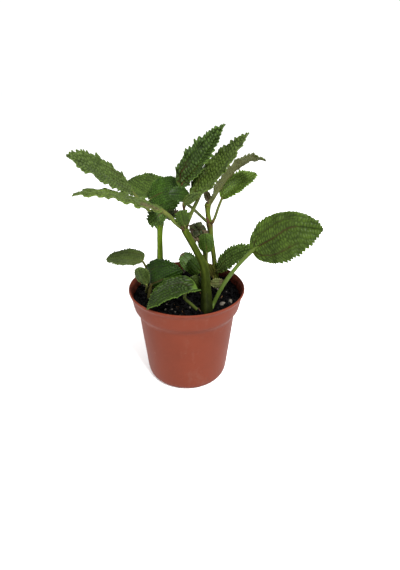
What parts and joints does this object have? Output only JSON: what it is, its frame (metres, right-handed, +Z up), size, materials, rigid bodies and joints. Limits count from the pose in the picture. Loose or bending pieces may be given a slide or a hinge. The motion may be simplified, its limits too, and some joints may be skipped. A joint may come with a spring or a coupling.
{
  "type": "potted plant",
  "caption": "Young pilea with quilted, toothed oval leaves on green stems, standing in moist potting soil in a round tapered nursery pot.",
  "frame": {"origin": "middle of the flat underside of the pot", "axes": "+Z up along the pot's axis; -Y towards the side where the front stem and the low drooping leaf are, +X towards the side of the large leaf on the long stalk"},
  "size_m": [0.1874, 0.1212, 0.2293],
  "materials": {
    "pot": "matte moulded terracotta-coloured plastic",
    "soil": "moist dark peat potting soil",
    "perlite": "rough pale grain",
    "stem": "smooth fleshy green stem",
    "leaf": "quilted, finely hairy green leaf",
    "leaf_young": "soft young green leaf",
    "leaf_withered": "dark green leaf with dry brown edges"
  },
  "bodies": {
    "root": {"pot": "pot", "soil": "soil", "grain_1": "perlite", "grain_2": "perlite", "stem_front": "stem", "stem_left": "stem", "stem_back": "stem", "stem_middle": "stem", "leaf_upper_left": "leaf", "leaf_left_drooping": "leaf", "leaf_top_left": "leaf", "leaf_top_middle": "leaf", "leaf_top_right": "leaf", "leaf_right_back": "leaf", "leaf_right_large": "leaf", "leaf_right_low": "leaf", "leaf_front_low": "leaf", "leaf_left_low": "leaf", "leaf_left_far": "leaf", "leaf_centre_front": "leaf", "leaf_left_back": "leaf", "leaf_centre_young": "leaf", "leaf_centre_pale": "leaf_young", "leaf_centre_drooping": "leaf", "leaf_centre_small": "leaf_withered", "leaf_node_front": "leaf_young", "leaf_left_small": "leaf_young", "leaf_middle_round": "leaf_young", "leaf_middle_curled": "leaf_withered", "leaf_back_olive": "leaf_young", "leaf_middle_dark": "leaf", "leaf_middle_low": "leaf", "leaf_base_young": "leaf_young", "leaf_back_young": "leaf_young", "leaf_top_bud": "leaf_young"}
  },
  "joints": []
}
